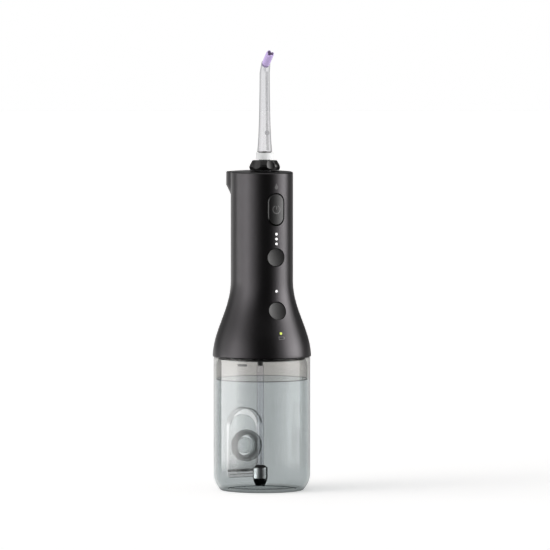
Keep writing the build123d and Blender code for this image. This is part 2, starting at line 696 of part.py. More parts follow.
def intensity_button(skin):
    """Round cap with a finger dish."""
    cap = along_y(Pos(0, ROUND_Z) * small_outline(), -30, -20.4) & skin
    cap -= Pos(0, front_y(ROUND_Z) - DISH_R + DISH_DEPTH, ROUND_Z) * Sphere(DISH_R)
    return cap + button_stem(ROUND_Z)


def mode_button(skin):
    """Round cap on the flare with a finger dish."""
    cap = mode_cutter(small_outline(), -3.0, 4) & skin
    cap -= MODE_PLANE.offset(DISH_R - DISH_DEPTH) * Sphere(DISH_R)
    return cap + mode_cutter(Circle(STEM_AROUND), -4.1, -2.9)


# ---- nozzle ---------------------------------------------------------------------------------
def outlet_seat():
    """Flanged seat under the handle's top that carries the ring and takes the nozzle."""
    body = turned(
        (TUBE_BORE_R, 208.0), (5.0, 208.0), (6.0, 209.0), (6.0, 219.3), (9.0, 219.3),
        (9.0, CEILING_Z), (SEAT_NECK_R, CEILING_Z),
        (SEAT_NECK_R, SEAT_TOP), (SEAT_BORE_R, SEAT_TOP), (SEAT_BORE_R, 210.5), (TUBE_BORE_R, 210.5)
    )
    return Pos(0, AXIS_Y, 0) * body


def seat_clip():
    return ring(7.0, SEAT_NECK_R, HANDLE_TOP, HANDLE_TOP + 1.2, 0, AXIS_Y)


def nozzle_ring():
    """Turning knob with six finger scallops."""
    body = turned(
        (7.6, RING_LOW), (10.2, RING_LOW), (11.0, 226.6), (10.4, 228.2), (8.8, RING_HIGH - 0.3),
        (8.2, RING_HIGH), (4.5, RING_HIGH), (4.5, SEAT_TOP + 0.3),
        (SEAT_NECK_R + RUN_FIT, SEAT_TOP + 0.3), (SEAT_NECK_R + RUN_FIT, 225.7), (7.6, 225.7)
    )
    for index in range(6):
        scallop = Pos(SCALLOP_OUT, 0, 229.0) * Rot(Y=-SCALLOP_LEAN) * Cylinder(SCALLOP_R, 24)
        body -= Rot(0, 0, -90 + 60 * index) * scallop
    return Pos(0, AXIS_Y, 0) * body


def tip_plane(height):
    """Plane across the bent end of the nozzle, height measured along the tilted axis."""
    tilt = math.radians(TIP_TILT)
    direction = (0, -math.sin(tilt), math.cos(tilt))
    origin = Vector(0, AXIS_Y - TIP_AHEAD, TIP_BEND_Z) + Vector(*direction) * height
    return Plane(origin=origin, x_dir=(1, 0, 0), z_dir=direction)


def nozzle_tube():
    """Clear tapered tube: stem in the seat, waisted barrel and bent end."""
    barrel = turned(
        (0, STEM_LOW), (STEM_R - 0.4, STEM_LOW), (STEM_R, STEM_LOW + 0.4), (STEM_R, 215.0), (3.4, 215.0),
        (3.4, 216.4), (STEM_R, 216.4), (STEM_R, 236.4), (5.2, 236.8), (5.0, 239.5), (4.7, 243.0),
        (4.4, 248.0), (4.05, 256.0), (3.75, 268.0), (3.55, 280.0), (BARREL_TOP_R, BARREL_TOP_Z),
        (0, BARREL_TOP_Z)
    )
    body = Pos(0, AXIS_Y, 0) * barrel
    shoulder = Plane.XY.offset(BARREL_TOP_Z) * Pos(0, AXIS_Y) * Circle(BARREL_TOP_R)
    end = tip_plane(0.6) * Circle(3.2)
    body += loft([shoulder, end])
    body -= rod(TUBE_BORE_R, STEM_LOW - 1, BARREL_TOP_Z, 0, AXIS_Y)
    body -= rod(TUBE_END_BORE_R, BARREL_TOP_Z - 1, TIP_BEND_Z + 0.4, 0, AXIS_Y - 0.4)
    return body - extrude(tip_plane(-1.2) * Circle(TIP_R - 0.3), amount=3)


def nozzle_collar():
    body = ring(6.1, STEM_R, 231.7, 236.4)
    body = chamfer(body.edges().filter_by(GeomType.CIRCLE).sort_by(Axis.Z)[-1], 1.2, 1.4)
    return Pos(0, AXIS_Y, 0) * body


def stem_seal():
    return ring(STEM_R + 0.06, 3.4, 215.1, 216.3, 0, AXIS_Y)


def soft_tip():
    """Soft tip with four small lobes cut by a cross at its end."""
    body = extrude(tip_plane(0.62) * Circle(TIP_R), amount=TIP_REACH - 0.62)
    body += extrude(tip_plane(-1.2) * Circle(TIP_R - 0.3), amount=2)
    body -= extrude(tip_plane(-2) * Circle(TIP_BORE_R), amount=20)
    body -= extrude(tip_plane(TIP_REACH - TIP_CUP_DEPTH) * Circle(TIP_CUP_R), amount=2 * TIP_CUP_DEPTH)
    for turn in (45, -45):
        slot = Rectangle(8, 1.1, rotation=turn)
        body -= extrude(tip_plane(TIP_REACH - 1.6) * slot, amount=3)
    return body


# ---- charging inlet ---------------------------------------------------------------------------
def charge_inlet():
    """Metal socket behind the rubber cover."""
    outline = RectangleRounded(9.0, 3.4, 1.6)
    hollow = RectangleRounded(8.2, 2.6, 1.2)
    body = along_y(Pos(0, PORT_Z) * outline, 17.2, COVER_Y - 0.1)
    body -= along_y(Pos(0, PORT_Z) * hollow, 18.0, 22)
    return body + block((-3.2, 3.2), (17.9, 20.4), (PORT_Z - 0.35, PORT_Z + 0.35))


def charge_cover(outside):
    """Rubber cover, flush with the back of the handle, with a round bead it bends about."""
    outline = RectangleRounded(12.2, 8.6, 2.6)
    body = along_y(Pos(0, PORT_Z) * outline, COVER_Y, 40) & outside
    return body + rod_x(BEAD_R, -3.5, 3.5, BEAD_Y, BEAD_Z)


# ---- write the pieces ----------------------------------------------------------------------------
os.makedirs("parts", exist_ok=True)
outside = handle_outside()
skin = button_skin()

PIECES = {
    "tank_shell": tank_shell(),
    "flap_hinge_pin": flap_hinge_pin(),
    "fill_door": fill_door(),
    "fill_seal": fill_seal(),
    "handle_housing": handle_housing(outside),
    "base_plug": base_plug(),
    "base_o_ring": base_o_ring(),
    "base_screws": base_screws(),
    "chassis_frame": chassis_frame(),
    "main_board": main_board(),
    "mode_board": mode_board(),
    "tact_switches": tact_switches(),
    "light_chips": light_chips(),
    "level_light_lenses": level_light_lenses(),
    "mode_light_lens": lens(MODE_LIGHT_Z),
    "battery_light_pipe": battery_light_pipe(),
    "battery_cell": battery_cell(),
    "battery_tabs": battery_tabs(),
    "battery_leads": battery_leads(),
    "motor_leads": motor_leads(),
    "motor_can": motor_can(),
    "motor_end_cap": motor_end_cap(),
    "motor_shaft": motor_shaft(),
    "motor_pinion": motor_pinion(),
    "crank_gear": crank_gear(),
    "crank_pin": crank_pin(),
    "gear_axle": gear_axle(),
    "axle_clip": axle_clip(),
    "piston_yoke": piston_yoke(),
    "piston_seal": piston_seal(),
    "pump_cylinder": pump_cylinder(),
    "pump_head": pump_head(),
    "inlet_valve": inlet_valve(),
    "outlet_valve": outlet_valve(),
    "inlet_tube": inlet_tube(),
    "outlet_tube": outlet_tube(),
    "hose_spigot": hose_spigot(),
    "suction_hose": suction_hose(),
    "weight_collar": weight_collar(),
    "hose_weight": hose_weight(),
    "intake_nose": intake_nose(),
    "power_button": power_button(skin),
    "intensity_button": intensity_button(skin),
    "mode_button": mode_button(skin),
    "outlet_seat": outlet_seat(),
    "seat_clip": seat_clip(),
    "nozzle_ring": nozzle_ring(),
    "nozzle_tube": nozzle_tube(),
    "nozzle_collar": nozzle_collar(),
    "stem_seal": stem_seal(),
    "soft_tip": soft_tip(),
    "charge_inlet": charge_inlet(),
    "charge_cover": charge_cover(outside),
}

for name, part in PIECES.items():
    save(part, name)
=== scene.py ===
import json
import math

import bmesh
import bpy
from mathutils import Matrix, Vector


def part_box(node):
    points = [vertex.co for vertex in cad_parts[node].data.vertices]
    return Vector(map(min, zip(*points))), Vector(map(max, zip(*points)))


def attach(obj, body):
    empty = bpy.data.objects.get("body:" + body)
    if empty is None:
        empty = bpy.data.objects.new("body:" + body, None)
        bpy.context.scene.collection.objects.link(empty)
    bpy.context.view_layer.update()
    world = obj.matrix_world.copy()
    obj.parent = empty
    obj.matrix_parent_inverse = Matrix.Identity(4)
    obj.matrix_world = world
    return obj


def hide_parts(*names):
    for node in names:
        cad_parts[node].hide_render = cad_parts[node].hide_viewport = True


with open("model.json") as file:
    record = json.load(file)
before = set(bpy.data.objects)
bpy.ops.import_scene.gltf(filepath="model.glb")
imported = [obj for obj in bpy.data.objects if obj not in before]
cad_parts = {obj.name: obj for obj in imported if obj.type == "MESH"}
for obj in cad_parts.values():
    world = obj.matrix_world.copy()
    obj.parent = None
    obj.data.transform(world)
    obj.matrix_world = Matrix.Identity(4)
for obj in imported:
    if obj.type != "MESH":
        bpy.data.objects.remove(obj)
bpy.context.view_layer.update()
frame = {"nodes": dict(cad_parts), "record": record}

MM = 0.001
CAMERA_AZIMUTH = math.radians(-25.6)
CAMERA_ELEVATION = math.radians(3.04)
CAMERA_DISTANCE = 3.71
CAMERA_LENS = 346.9
SIGHT_HEIGHT = 0.1506
SIGHT_RIGHT = 0.0092

TO_CAMERA = Vector((math.sin(CAMERA_AZIMUTH), -math.cos(CAMERA_AZIMUTH), 0))
TO_RIGHT = Vector((math.cos(CAMERA_AZIMUTH), math.sin(CAMERA_AZIMUTH), 0))


# ---- places taken from the frame ----------------------------------------------------------
def middle(node):
    low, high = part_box(node)
    return (Vector(low) + Vector(high)) / 2


TANK_LOW, TANK_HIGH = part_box("tank_shell")
TANK_R = (TANK_HIGH[0] - TANK_LOW[0]) / 2
TANK_WALL = 2.0 * MM
TANK_FLOOR = 2.4 * MM
WATER_LEVEL = 77.8 * MM
NOZZLE_AXIS = middle("nozzle_ring")
POWER_Z = middle("power_button").z

POCKET_HALF = 12.5 * MM          # filling pocket in the back of the tank, with its walls
POCKET_LOW, POCKET_HIGH = 6.5 * MM, 55.8 * MM
POCKET_FRONT = 25.5 * MM
BOSS_R, BOSS_FRONT = 11.0 * MM, 23.0 * MM
FILL_HEIGHT = 29.0 * MM
HOSE_R, HOSE_Y = 2.4 * MM, 2.75 * MM
HOSE_TOP, HOSE_END = 86.9 * MM, 17.0 * MM
WATER_FOOT_R, WATER_CORNER = 27.5 * MM, 10.0 * MM   # flat bottom of the water, and its rounding
WATER_STEPS, CIRCLE_STEPS, TIP_STEPS = 128, 48, 96   # facets round each form
TIP_TILT = math.radians(44.0)
TIP_BEND, TIP_AHEAD = 298.2 * MM, 1.6 * MM
LOBE_DEPTH = 1.3 * MM

# ---- looks ------------------------------------------------------------------------------------
TANK_WET = (0.624, 0.648, 0.652, 1.0)
TANK_DRY = (0.615, 0.61, 0.60, 1.0)
MARK_TURN = math.radians(-49.2)  # printed bar on the tank, bearing from its front
MARK_Z = 89.4 * MM
CORNER_TOP = 13.0 * MM           # where the tank's rounded foot runs into its side
SKIN_R, SKIN_INWARD = 33.0 * MM, 4.7 * MM   # the tank's outside lies beyond, at its foot further in
GRAIN_SCALE = 5200.0             # moulded grain, about 0.2 mm
TOOL_MARK = 0.004 * MM
WALL_GLOSS, WALL_WAVE = 0.03, 0.03 * MM
RIB_Z, RIB_HALF = 265.5 * MM, 27.5 * MM     # darker rib down the nozzle's front
GATE_MARK_Z, NOZZLE_FOOT_Z = 250.3 * MM, 237.0 * MM
TO_FRONT_LEFT, TO_LEFT = (-0.42, -0.9, 0.0), (-0.9, 0.42, 0.0)
WHITE_LIGHTS_Z = [z * MM for z in (180.2, 176.8, 173.4, 140.4)]
BATTERY_LIGHT_Z = 111.3 * MM
BATTERY_SIGN_Z = 108.2 * MM
DROP_Z = 212.6 * MM
FLOOR_WHITE = (0.9, 0.9, 0.9, 1.0)
FLOOR_GLOW = 0.44
FLOOR_LEAN = tuple((Vector((0, 0, 1)) - 0.8 * TO_RIGHT).normalized())   # lit mostly from the left


# ---- node helpers ---------------------------------------------------------------------------
class Nodes:
    """Short way to add shader nodes to one tree and link them."""

    def __init__(self, tree):
        self.tree = tree

    def add(self, kind, values=(), **settings):
        node = self.tree.nodes.new(kind)
        for key, value in settings.items():
            setattr(node, key, value)
        for key, value in dict(values).items():
            self.put(node, key, value)
        return node

    def put(self, node, key, value):
        if isinstance(value, bpy.types.NodeSocket):
            self.tree.links.new(value, node.inputs[key])
        else:
            node.inputs[key].default_value = value

    def place(self):
        """Point on the piece in its own metres."""
        return self.add("ShaderNodeTexCoord").outputs["Object"]

    def noise(self, scale, detail=3.0, rough=0.55):
        node = self.add("ShaderNodeTexNoise", {
            "Vector": self.place(), "Scale": scale, "Detail": detail, "Roughness": rough,
        })
        return node.outputs["Fac"]

    def ramp(self, factor, low, high, out_low=0.0, out_high=1.0):
        node = self.add("ShaderNodeMapRange", {
            "Value": factor, "From Min": low, "From Max": high, "To Min": out_low, "To Max": out_high,
        })
        return node.outputs["Result"]

    def blend(self, factor, first, second):
        node = self.add("ShaderNodeMix", data_type="RGBA")
        self.put(node, 0, factor)
        self.put(node, 6, first)
        self.put(node, 7, second)
        return node.outputs[2]

    def math(self, kind, first, second=0.0):
        return self.add("ShaderNodeMath", {0: first, 1: second}, operation=kind).outputs[0]

    def xyz(self):
        """The three coordinates of the point on the piece."""
        return self.add("ShaderNodeSeparateXYZ", {0: self.place()}).outputs

    def along(self, direction):
        node = self.add("ShaderNodeVectorMath", {0: self.place(), 1: tuple(direction)},
                        operation="DOT_PRODUCT")
        return node.outputs["Value"]

    def within(self, value, centre, half, soft=0.00006):
        """1 where value lies within half of the centre, 0 outside."""
        away = self.math("ABSOLUTE", self.math("SUBTRACT", value, centre))
        return self.ramp(away, half + soft, half - soft)

    def both(self, *masks):
        product = masks[0]
        for mask in masks[1:]:
            product = self.math("MULTIPLY", product, mask)
        return product

    def either(self, *masks):
        largest = masks[0]
        for mask in masks[1:]:
            largest = self.math("MAXIMUM", largest, mask)
        return largest

    def distance(self, first, second, at_first, at_second):
        """Distance from a point in the plane of two coordinates."""
        a = self.math("SUBTRACT", first, at_first)
        b = self.math("SUBTRACT", second, at_second)
        return self.math("SQRT", self.math("ADD", self.math("MULTIPLY", a, a), self.math("MULTIPLY", b, b)))

    def bump(self, height, depth, strength=1.0):
        values = {"Height": height, "Distance": depth, "Strength": strength}
        return self.add("ShaderNodeBump", values).outputs["Normal"]


def colour(r, g, b):
    return (r, g, b, 1.0)


def new_material(name):
    made = bpy.data.materials.new(name)
    made.use_nodes = True
    made.node_tree.nodes.clear()
    return made, Nodes(made.node_tree)


def output(nodes, shader):
    nodes.add("ShaderNodeOutputMaterial", {"Surface": shader})


# ---- materials --------------------------------------------------------------------------------
def moulded(name, base, vary, roughness, spread=0.05, grain=0.02 * MM, printed=None,
            ink=(0.3, 0.3, 0.3, 1.0), **fixed):
    """Opaque moulded plastic or rubber: fine grain, soft cloudiness, uneven sheen, printed signs."""
    made, n = new_material(name)
    cloud = n.noise(55.0, 4.0)
    fine = n.noise(GRAIN_SCALE, 2.0, 0.6)
    tint = n.blend(n.ramp(cloud, 0.3, 0.7), base, vary)
    if printed:
        tint = n.blend(printed(n), tint, ink)
    sheen = n.ramp(n.noise(130.0, 3.0), 0.3, 0.7, roughness - spread, roughness + spread)
    values = {"Base Color": tint, "Roughness": sheen, "Normal": n.bump(fine, grain, 0.6)}
    values.update({key.replace("_", " "): value for key, value in fixed.items()})
    shader = n.add("ShaderNodeBsdfPrincipled", values)
    output(n, shader.outputs[0])
    return made


def metal(name, base, roughness):
    """Turned or polished metal with fine circular tool marks."""
    made, n = new_material(name)
    stretch = n.add("ShaderNodeMapping", {"Vector": n.place(), "Scale": (60.0, 60.0, 9000.0)})
    marks = n.add("ShaderNodeTexNoise", {"Vector": stretch.outputs[0], "Scale": 1.0, "Detail": 3.0})
    cloud = n.noise(300.0, 3.0)
    tint = n.blend(n.ramp(cloud, 0.3, 0.7), base, tuple(0.9 * c for c in base[:3]) + (1.0,))
    shader = n.add("ShaderNodeBsdfPrincipled", {
        "Base Color": tint, "Metallic": 1.0,
        "Roughness": n.ramp(cloud, 0.3, 0.7, roughness * 0.8, roughness * 1.25),
        "Normal": n.bump(marks.outputs["Fac"], TOOL_MARK, 0.5),
    })
    output(n, shader.outputs[0])
    return made


def see_through(n, tint, gain, roughness, wave):
    """Thin clear wall: tinted look-through and a sharp gloss that grows towards grazing."""
    swell = n.bump(n.noise(38.0, 2.0), wave, 1.0)
    facing = n.add("ShaderNodeLayerWeight", {"Blend": 0.5}).outputs["Facing"]
    grazing = n.math("POWER", facing, 5.0)
    normal_share = n.math("MULTIPLY", 0.04, gain)
    share = n.math("ADD", normal_share, n.math("MULTIPLY", grazing, n.math("MINIMUM", gain, 0.85)))
    through = n.add("ShaderNodeBsdfTransparent", {"Color": tint})
    shine = n.add("ShaderNodeBsdfGlossy", {
        "Color": colour(1, 1, 1), "Roughness": roughness, "Normal": swell,
    })
    mixed = n.add("ShaderNodeMixShader", {0: share, 1: through.outputs[0], 2: shine.outputs[0]})
    output(n, mixed.outputs[0])


def edge_tint(n, face, edge, power):
    """Look-through colour that changes from face-on to edge-on."""
    facing = n.add("ShaderNodeLayerWeight", {"Blend": 0.5}).outputs["Facing"]
    return n.blend(n.math("POWER", facing, power), face, edge)


def clear(name, face, edge, power, gain):
    made, n = new_material(name)
    cloud = n.ramp(n.noise(60.0, 2.0), 0.3, 0.7)
    darker = tuple(0.97 * c for c in face[:3]) + (1.0,)
    see_through(n, edge_tint(n, n.blend(cloud, face, darker), edge, power), gain, WALL_GLOSS, WALL_WAVE)
    return made


def tank_clear():
    """Smoky clear plastic.  Below the water level wall and water act as one, so the wall's outside
    carries the water's tint; a plain bar is printed near the top."""
    made, n = new_material("clear_tank")
    x, y, z = n.xyz()
    reach = n.distance(x, y, 0.0, 0.0)
    drop = n.ramp(z, CORNER_TOP, 0.0)
    inward = n.math("MULTIPLY", n.math("MULTIPLY", drop, drop), SKIN_INWARD)
    skin_r = n.math("SUBTRACT", SKIN_R, inward)
    beyond = n.math("SUBTRACT", reach, skin_r)
    outer = n.either(n.ramp(beyond, -0.2 * MM, 0.2 * MM), n.ramp(z, 0.9 * MM, 0.7 * MM))
    head = POCKET_HIGH - POCKET_HALF
    from_arch = n.distance(x, z, 0.0, head)
    pocket = n.both(
        n.ramp(y, POCKET_FRONT - 0.6 * MM, POCKET_FRONT - 0.4 * MM),
        n.ramp(z, POCKET_LOW - 0.2 * MM, POCKET_LOW),
        n.within(x, 0.0, POCKET_HALF + 0.05 * MM),
        n.either(n.ramp(from_arch, POCKET_HALF + 0.1 * MM, POCKET_HALF), n.ramp(z, head, head - 0.1 * MM)),
    )
    outer = n.both(outer, n.math("SUBTRACT", 1.0, pocket))
    wet = n.ramp(z, WATER_LEVEL + 0.1 * MM, WATER_LEVEL - 0.1 * MM)
    cloud = n.ramp(n.noise(26.0, 2.0), 0.3, 0.7)
    cool = n.blend(cloud, TANK_WET, tuple(0.985 * c for c in TANK_WET[:3]) + (1.0,))
    # Painted light: the wall's edge-on tint is lighter towards the tank's left side
    left = n.ramp(n.along(TO_LEFT), 26 * MM, 33 * MM)
    dry_edge_painted_left_light = n.blend(left, colour(0.7, 0.7, 0.69), colour(0.95, 0.95, 0.94))
    wet_edge_painted_left_light = n.blend(left, colour(0.74, 0.76, 0.76), colour(0.96, 0.97, 0.97))
    skin = n.blend(wet, edge_tint(n, TANK_DRY, dry_edge_painted_left_light, 3.0), edge_tint(n, cool, wet_edge_painted_left_light, 2.5))
    dry_inner = edge_tint(n, colour(0.975, 0.975, 0.97), colour(0.75, 0.76, 0.76), 3.0)
    inner = n.blend(wet, dry_inner, colour(0.985, 0.985, 0.985))
    # Painted shade: the wall round the fill neck is darkened in a ring
    neck_away = n.distance(x, z, 0.0, FILL_HEIGHT)
    neck_painted_shade = n.both(n.within(neck_away, 9.5 * MM, 1.7 * MM), n.within(y, 25.3 * MM, 2.6 * MM))
    inner = n.blend(neck_painted_shade, inner, colour(0.52, 0.53, 0.53))
    # Painted shade: the pocket's panel is darker towards its bottom
    pocket_painted_shade = n.ramp(z, POCKET_LOW, head, 0.7, 1.0)
    inner = n.blend(pocket, inner, n.blend(pocket_painted_shade, colour(0, 0, 0), inner))
    # Painted shade: a darker band along the top of the pocket's arch
    arch = n.both(
        pocket, n.ramp(from_arch, POCKET_HALF - 1.1 * MM, POCKET_HALF - 0.9 * MM),
        n.ramp(z, head, head + 3 * MM),
    )
    inner = n.blend(arch, inner, colour(0.5, 0.51, 0.51))
    tint = n.blend(outer, inner, skin)
    # Painted shade: a dark line along the front of the inner floor's edge
    floor_edge_painted_shade = n.both(
        n.within(z, TANK_FLOOR + 0.2 * MM, 0.35 * MM, 0.2 * MM), n.within(reach, 27.6 * MM, 0.8 * MM),
        n.ramp(n.along(TO_FRONT_LEFT), 12 * MM, 22 * MM),
    )
    tint = n.blend(floor_edge_painted_shade, tint, colour(0.3, 0.31, 0.31))
    # Painted shade: the outside of the tank's foot is darker near the table
    foot_painted_shade = n.ramp(reach, 24.6 * MM, 25.2 * MM, 0.6, 1.0)
    tint = n.blend(n.both(outer, n.ramp(z, 1.8 * MM, 0.6 * MM), foot_painted_shade), tint, colour(0.5, 0.52, 0.52))
    tangent = (math.cos(MARK_TURN), math.sin(MARK_TURN), 0)
    outward = (math.sin(MARK_TURN), -math.cos(MARK_TURN), 0)
    bar = n.both(
        n.within(n.along(tangent), 0.0, 3.6 * MM), n.within(z, MARK_Z, 0.75 * MM),
        n.ramp(n.along(outward), 30 * MM, 31 * MM), outer,
    )
    tint = n.blend(bar, tint, colour(0.12, 0.12, 0.12))
    inner_gain = n.ramp(wet, 0.0, 1.0, 0.4, 0.0)
    outer_gain = n.ramp(z, CORNER_TOP, 24 * MM, 0.15, 1.6)
    gain = n.add("ShaderNodeMix", {0: outer, 2: inner_gain, 3: outer_gain}).outputs[0]
    see_through(n, tint, gain, WALL_GLOSS, WALL_WAVE)
    return made


def nozzle_clear():
    """Clear plastic with a darker rib and a round gate mark down its front."""
    made, n = new_material("clear_nozzle")
    x, y, z = n.xyz()
    skin = edge_tint(n, colour(0.87, 0.87, 0.88), colour(0.32, 0.32, 0.33), 1.9)
    bore = n.ramp(n.distance(x, y, 0.0, NOZZLE_AXIS.y), 2.6 * MM, 2.4 * MM)
    tint = n.blend(n.both(bore, n.ramp(z, 294 * MM, 292 * MM)), skin, colour(0.985, 0.985, 0.985))
    front = n.ramp(y, NOZZLE_AXIS.y - 1.5 * MM, NOZZLE_AXIS.y - 2.0 * MM)
    rib = n.both(front, n.within(x, 0.0, 0.95 * MM, 0.15 * MM), n.within(z, RIB_Z, RIB_HALF, 0.5 * MM))
    steps = n.ramp(n.noise(420.0, 2.0), 0.45, 0.62, 0.0, 0.5)
    ribbed = n.blend(steps, colour(0.58, 0.58, 0.59), colour(0.48, 0.48, 0.49))
    disc = n.both(front, n.ramp(n.distance(x, z, 0.0, GATE_MARK_Z), 1.8 * MM, 1.7 * MM))
    tint = n.blend(rib, tint, ribbed)
    tint = n.blend(disc, tint, colour(0.45, 0.45, 0.46))
    # Painted shade: a darker band at the nozzle's foot, where it meets the collar
    foot = n.ramp(z, NOZZLE_FOOT_Z + 0.6 * MM, NOZZLE_FOOT_Z)
    tint = n.blend(foot, tint, colour(0.5, 0.5, 0.5))
    see_through(n, tint, 0.03, 0.08, 0.000004)
    return made


def lit(name, base, glow, strength, centres):
    """Small light lens, brightest at its middle; centres are the heights of its spots."""
    made, n = new_material(name)
    x, _, z = n.xyz()
    near = n.distance(x, z, 0.0, centres[0])
    for height in centres[1:]:
        near = n.math("MINIMUM", near, n.distance(x, z, 0.0, height))
    falloff = n.ramp(near, 0.25 * MM, 1.0 * MM, strength, 0.3 * strength)
    spot = n.ramp(n.noise(900.0, 1.0), 0.2, 0.8, 0.8, 1.0)
    shader = n.add("ShaderNodeBsdfPrincipled", {
        "Base Color": n.blend(spot, base, glow), "Roughness": 0.3,
        "Emission Color": glow, "Emission Strength": falloff,
    })
    output(n, shader.outputs[0])
    return made


def assign(node, made):
    """Gives a CAD node its finished material."""
    for place in frame["nodes"][node].material_slots:
        place.material = made


# ---- mesh helpers ------------------------------------------------------------------------------
def new_piece(name, mesh_maker, made, smooth=True):
    data = bpy.data.meshes.new(name)
    shape = bmesh.new()
    mesh_maker(shape)
    bmesh.ops.recalc_face_normals(shape, faces=shape.faces)
    for face in shape.faces:
        face.smooth = smooth
    shape.to_mesh(data)
    shape.free()
    piece = bpy.data.objects.new(name, data)
    bpy.context.collection.objects.link(piece)
    data.materials.append(made)
    return piece


def lathe(shape, outline, steps):
    """Turns (radius, height) points about Z, from one pole to the other; radius 0 makes a pole."""
    rings = []
    for radius, height in outline:
        if radius < 1e-7:
            rings.append([shape.verts.new((0.0, 0.0, height))])
            continue
        rings.append([
            shape.verts.new((
                radius * math.cos(2 * math.pi * k / steps),
                radius * math.sin(2 * math.pi * k / steps), height,
            ))
            for k in range(steps)
        ])
    for low, high in zip(rings, rings[1:]):
        for k in range(steps):
            after = (k + 1) % steps
            corners = []
            for loop, place in ((low, k), (low, after), (high, after), (high, k)):
                corner = loop[place % len(loop)] if len(loop) > 1 else loop[0]
                if corner not in corners:
                    corners.append(corner)
            if len(corners) > 2:
                shape.faces.new(corners)


# ---- stage ----------------------------------------------------------------------------------------
def make_camera():
    data = bpy.data.cameras.new("camera")
    data.lens = CAMERA_LENS
    data.sensor_width = 36.0
    data.clip_start, data.clip_end = 0.1, 50.0
    camera = bpy.data.objects.new("camera", data)
    bpy.context.collection.objects.link(camera)
    back = TO_CAMERA * math.cos(CAMERA_ELEVATION) + Vector((0, 0, math.sin(CAMERA_ELEVATION)))
    target = Vector((0, 0, SIGHT_HEIGHT)) + TO_RIGHT * SIGHT_RIGHT
    camera.location = target + back * CAMERA_DISTANCE
    camera.rotation_mode = "QUATERNION"
    camera.rotation_quaternion = (-back).to_track_quat("-Z", "Y")
    bpy.context.scene.camera = camera


def make_studio():
    """White surroundings with a large soft box on each side of the camera."""
    world = bpy.data.worlds.new("studio")
    bpy.context.scene.world = world
    world.use_nodes = True
    world.node_tree.nodes.clear()
    n = Nodes(world.node_tree)
    way = n.add("ShaderNodeTexCoord").outputs["Generated"]

    def along(direction):
        node = n.add("ShaderNodeVectorMath", {0: way, 1: tuple(direction)}, operation="DOT_PRODUCT")
        return node.outputs["Value"]

    turn = n.math("ARCTAN2", along(TO_RIGHT), along(TO_CAMERA))
    turn = n.math("MULTIPLY", turn, 180 / math.pi)
    rise = n.math("MULTIPLY", n.math("ARCSINE", along((0, 0, 1))), 180 / math.pi)

    def around(stops):
        """Strength by bearing, in straight lines between (bearing, strength) stops."""
        strongest = max(strength for _, strength in stops)
        ramp = n.add("ShaderNodeValToRGB", {"Fac": n.ramp(turn, -180.0, 180.0)})
        bar = ramp.color_ramp.elements
        while len(bar) < len(stops):
            bar.new(0.5)
        for stop, (bearing, strength) in zip(bar, stops):
            stop.position = (bearing + 180.0) / 360.0
            stop.color = colour(*[strength / strongest] * 3)
        return n.math("MULTIPLY", ramp.outputs["Color"], strongest)

    def total(*lights):
        result = lights[0]
        for light in lights[1:]:
            result = n.math("ADD", result, light)
        return result

    level = n.both(n.ramp(rise, -7.0, -6.2), n.ramp(rise, -1.8, -2.6))
    beside = n.math("SUBTRACT", 1.0, level)
    steep = n.ramp(rise, 14.0, 34.0)
    height = n.both(n.ramp(rise, -20.0, -11.0), n.ramp(rise, 62.0, 36.0), beside)
    left = n.both(around(HIGH_LEFT), height, n.ramp(steep, 0.0, 1.0, 1.0, 0.36))
    right = n.both(around(HIGH_RIGHT), height, n.ramp(steep, 0.0, 1.0, 1.0, 0.5))
    rear = total(n.ramp(turn, -118.0, -135.0, 0.0, REAR_LEFT), n.ramp(turn, 118.0, 135.0, 0.0, REAR_RIGHT))
    rear = n.both(rear, n.ramp(rise, 0.0, 2.5, 1.0, 0.3))
    top = n.both(n.ramp(rise, 35.0, 75.0), TOP_LEVEL)
    light = total(n.both(around(LEVEL_BOXES), level), left, right, rear, top, FILL_LEVEL)

    paths = n.add("ShaderNodeLightPath")
    seen = n.add("ShaderNodeBackground", {"Color": colour(1, 1, 1), "Strength": 1.0})
    lights = n.add("ShaderNodeBackground", {"Color": colour(1.0, 0.99, 0.985), "Strength": light})
    mixed = n.add("ShaderNodeMixShader", {
        0: paths.outputs["Is Camera Ray"], 1: lights.outputs[0], 2: seen.outputs[0],
    })
    n.add("ShaderNodeOutputWorld", {"Surface": mixed.outputs[0]})


# Soft boxes as (bearing, strength) stops, in degrees from the camera, clockwise from above:
# what a level mirror sees, and what lies above and below it to the left and to the right.
LEVEL_BOXES = (
    (-113.5, 0.0), (-112.0, 5.4), (-67.0, 5.0), (-54.0, 2.8), (-41.0, 1.5), (-28.0, 0.8), (-5.0, 0.15),
    (25.0, 0.1), (57.0, 1.0), (72.0, 1.7), (102.0, 1.9), (104.0, 0.0),
)
HIGH_LEFT = (
    (-128.0, 0.0), (-112.0, 1.2), (-90.0, 1.9), (-66.0, 4.3), (-45.0, 2.1), (-26.0, 0.4), (-12.0, 0.0),
)
HIGH_RIGHT = ((34.0, 0.0), (54.0, 1.6), (71.0, 6.4), (92.0, 8.0), (104.0, 3.0), (116.0, 0.0))
REAR_LEFT, REAR_RIGHT, TOP_LEVEL, FILL_LEVEL = 0.8, 0.3, 0.8, 0.03


